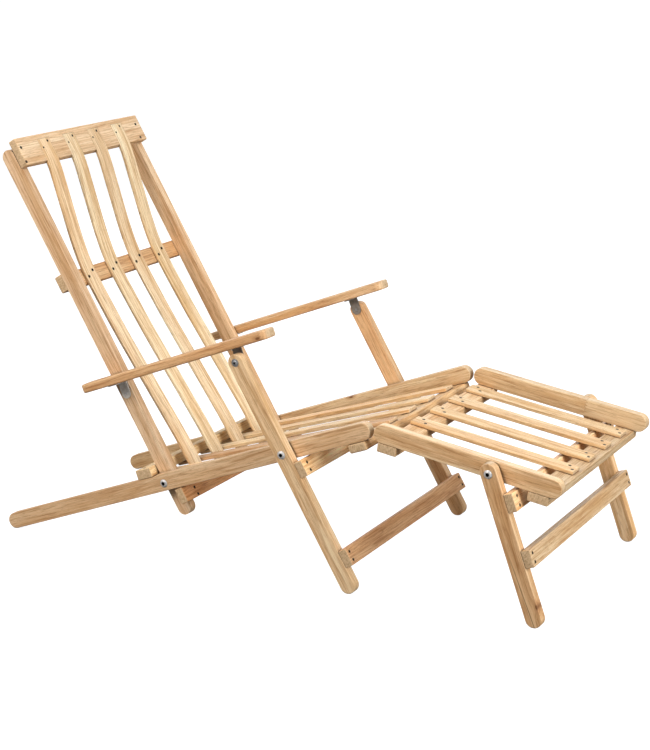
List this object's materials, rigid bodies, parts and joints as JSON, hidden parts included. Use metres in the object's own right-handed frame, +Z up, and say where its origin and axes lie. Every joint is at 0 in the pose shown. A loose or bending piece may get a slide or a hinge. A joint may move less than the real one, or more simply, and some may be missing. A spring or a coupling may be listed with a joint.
{
  "type": "folding deck chair",
  "caption": "Folding oiled-wood deck chair with a high bowed-slat back, flat arm rests and a hinged footrest on its own folding legs.",
  "frame": {"origin": "centre of the bounding box on the floor, with the chair set up", "axes": "+X towards the foot end, +Z up, +Y towards the right arm"},
  "size_m": [1.4761, 0.6086, 0.9738],
  "materials": {
    "slat_wood": "oiled",
    "frame_wood": "oiled",
    "galvanised_steel": "galvanised, satin",
    "bright_steel": "bright zinc",
    "dark_zinc": "bluish dark zinc"
  },
  "bodies": {
    "seat_frame": {"seat_rail_left": "frame_wood", "seat_rail_right": "frame_wood", "rear_stop_bar": "frame_wood", "seat_front_crossbar": "frame_wood", "seat_slat_1": "slat_wood", "seat_slat_2": "slat_wood", "seat_slat_3": "slat_wood", "seat_slat_4": "slat_wood", "seat_slat_5": "slat_wood", "stile_pivot_bolt_left": "bright_steel", "stile_pivot_bolt_right": "bright_steel", "leg_pivot_bolt_left": "bright_steel", "leg_pivot_bolt_right": "bright_steel", "hinge_seat_leaf_left": "galvanised_steel", "hinge_seat_leaf_right": "galvanised_steel"},
    "backrest": {"stile_left": "frame_wood", "stile_right": "frame_wood", "head_rail": "frame_wood", "mid_rail": "frame_wood", "lower_stop_bar": "frame_wood", "back_slat_1": "slat_wood", "back_slat_2": "slat_wood", "back_slat_3": "slat_wood", "back_slat_4": "slat_wood", "arm_rear_bolt_left": "bright_steel", "arm_rear_bolt_right": "bright_steel"},
    "front_legs": {"front_leg_left": "frame_wood", "front_leg_right": "frame_wood", "front_leg_upper_bar": "frame_wood", "front_leg_lower_bar": "frame_wood", "arm_front_bolt_left": "dark_zinc", "arm_front_bolt_right": "dark_zinc"},
    "armrest_left": {"arm_left": "frame_wood", "arm_rear_bracket_left": "galvanised_steel", "arm_front_bracket_left": "galvanised_steel"},
    "armrest_right": {"arm_right": "frame_wood", "arm_rear_bracket_right": "galvanised_steel", "arm_front_bracket_right": "galvanised_steel"},
    "footrest": {"footrest_rail_left": "frame_wood", "footrest_rail_right": "frame_wood", "footrest_rear_crossbar": "frame_wood", "footrest_front_crossbar": "frame_wood", "footrest_slat_1": "slat_wood", "footrest_slat_2": "slat_wood", "footrest_slat_3": "slat_wood", "footrest_slat_4": "slat_wood", "footrest_slat_5": "slat_wood", "footrest_pivot_bolt_left": "bright_steel", "footrest_pivot_bolt_right": "bright_steel", "hinge_foot_leaf_left": "galvanised_steel", "hinge_foot_leaf_right": "galvanised_steel"},
    "footrest_legs": {"footrest_leg_left": "frame_wood", "footrest_leg_right": "frame_wood", "footrest_leg_upper_bar": "frame_wood", "footrest_leg_lower_bar": "frame_wood"}
  },
  "joints": [
    {"name": "back_fold", "type": "hinge", "parent": "seat_frame", "child": "backrest", "pos_m": [-0.2601, 0, 0.18256], "axis": [0, 1, 0], "range_deg": [0, 99]},
    {"name": "front_legs_fold", "type": "hinge", "parent": "seat_frame", "child": "front_legs", "pos_m": [0.08024, 0, 0.30442], "axis": [0, 1, 0], "range_deg": [0, 99]},
    {"name": "armrest_left_fold", "type": "hinge", "parent": "backrest", "child": "armrest_left", "pos_m": [-0.3725, -0.2755, 0.38368], "axis": [0, 1, 0], "range_deg": [-99, 0]},
    {"name": "armrest_right_fold", "type": "hinge", "parent": "backrest", "child": "armrest_right", "pos_m": [-0.3725, 0.2755, 0.38368], "axis": [0, 1, 0], "range_deg": [-99, 0]},
    {"name": "footrest_fold", "type": "hinge", "parent": "seat_frame", "child": "footrest", "pos_m": [0.2989, 0, 0.33626], "axis": [0, 1, 0], "range_deg": [0, 45]},
    {"name": "footrest_legs_fold", "type": "hinge", "parent": "footrest", "child": "footrest_legs", "pos_m": [0.583, 0, 0.32816], "axis": [0, 1, 0], "range_deg": [0, 96]}
  ],
  "couplings": [
    {"joint": "front_legs_fold", "follows": "back_fold", "ratio": 1},
    {"joint": "armrest_left_fold", "follows": "back_fold", "ratio": -1},
    {"joint": "armrest_right_fold", "follows": "back_fold", "ratio": -1}
  ]
}
